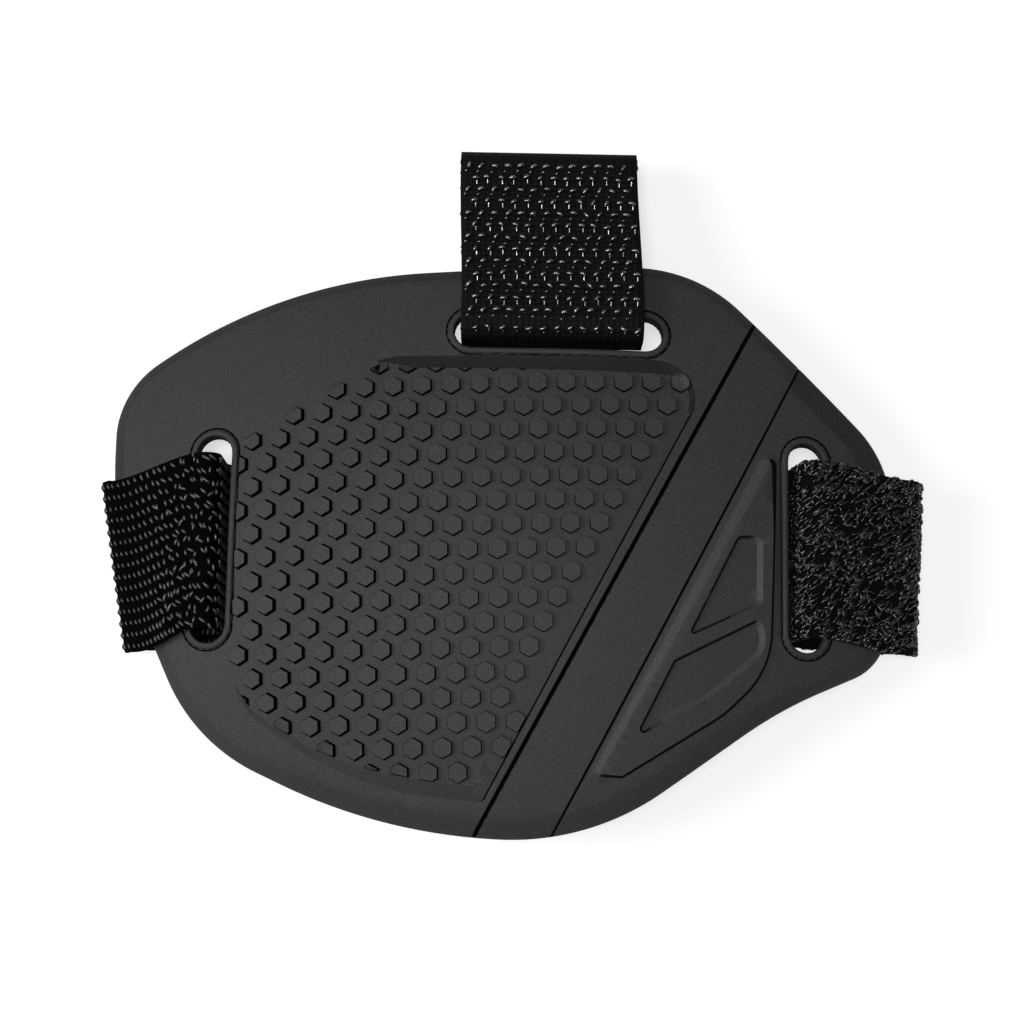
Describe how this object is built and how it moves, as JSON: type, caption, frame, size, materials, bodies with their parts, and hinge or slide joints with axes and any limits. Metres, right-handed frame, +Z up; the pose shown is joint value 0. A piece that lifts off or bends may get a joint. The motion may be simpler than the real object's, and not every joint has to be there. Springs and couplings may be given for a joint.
{
  "type": "boot shift guard pad",
  "caption": "Domed moulded rubber guard pad with a hexagon-studded panel and strap slots, worn over a boot's toe on a wide sole strap, with a folded top strap.",
  "frame": {"origin": "middle of the sole strap's flat underside, on the surface the part rests on", "axes": "+X along the sole strap towards its hook-and-loop end, +Y towards the top strap, +Z up out of the pad's studded face"},
  "size_m": [0.1527, 0.1292, 0.0228],
  "materials": {
    "rubber_pad": "matte moulded, fine speckle",
    "ribbed_elastic": "ribbed elastic weave",
    "loop_pile": "fuzzy loop pile",
    "hook_tape": "glossy moulded hooks on woven tape",
    "thread": "twisted sewing thread"
  },
  "bodies": {
    "shield": {"pad": "rubber_pad", "sole_elastic": "ribbed_elastic", "elastic_bartack": "thread", "sole_pile_strap": "loop_pile", "strap_join_stitches": "thread"},
    "sole_tab": {"sole_tab": "loop_pile", "tab_hook_patch": "hook_tape", "patch_stitches": "thread"},
    "top_strap": {"top_hook_tape": "hook_tape", "top_inner_tape": "loop_pile"},
    "top_tab": {"top_tab_hook": "hook_tape", "top_tab_inner": "loop_pile", "top_tab_stitches": "thread"}
  },
  "joints": [
    {"name": "sole_tab_peel", "type": "hinge", "parent": "shield", "child": "sole_tab", "pos_m": [0.0678, -0.0015, 0], "axis": [0, -1, 0], "range_deg": [0, 110]},
    {"name": "top_strap_swing", "type": "hinge", "parent": "shield", "child": "top_strap", "pos_m": [0.007, 0.0417, 0.0165], "axis": [1, 0, 0], "range_deg": [0, 10]},
    {"name": "top_tab_peel", "type": "hinge", "parent": "top_strap", "child": "top_tab", "pos_m": [0.0065, 0.0718, 0.0026], "axis": [1, 0, 0], "range_deg": [0, 110]}
  ]
}
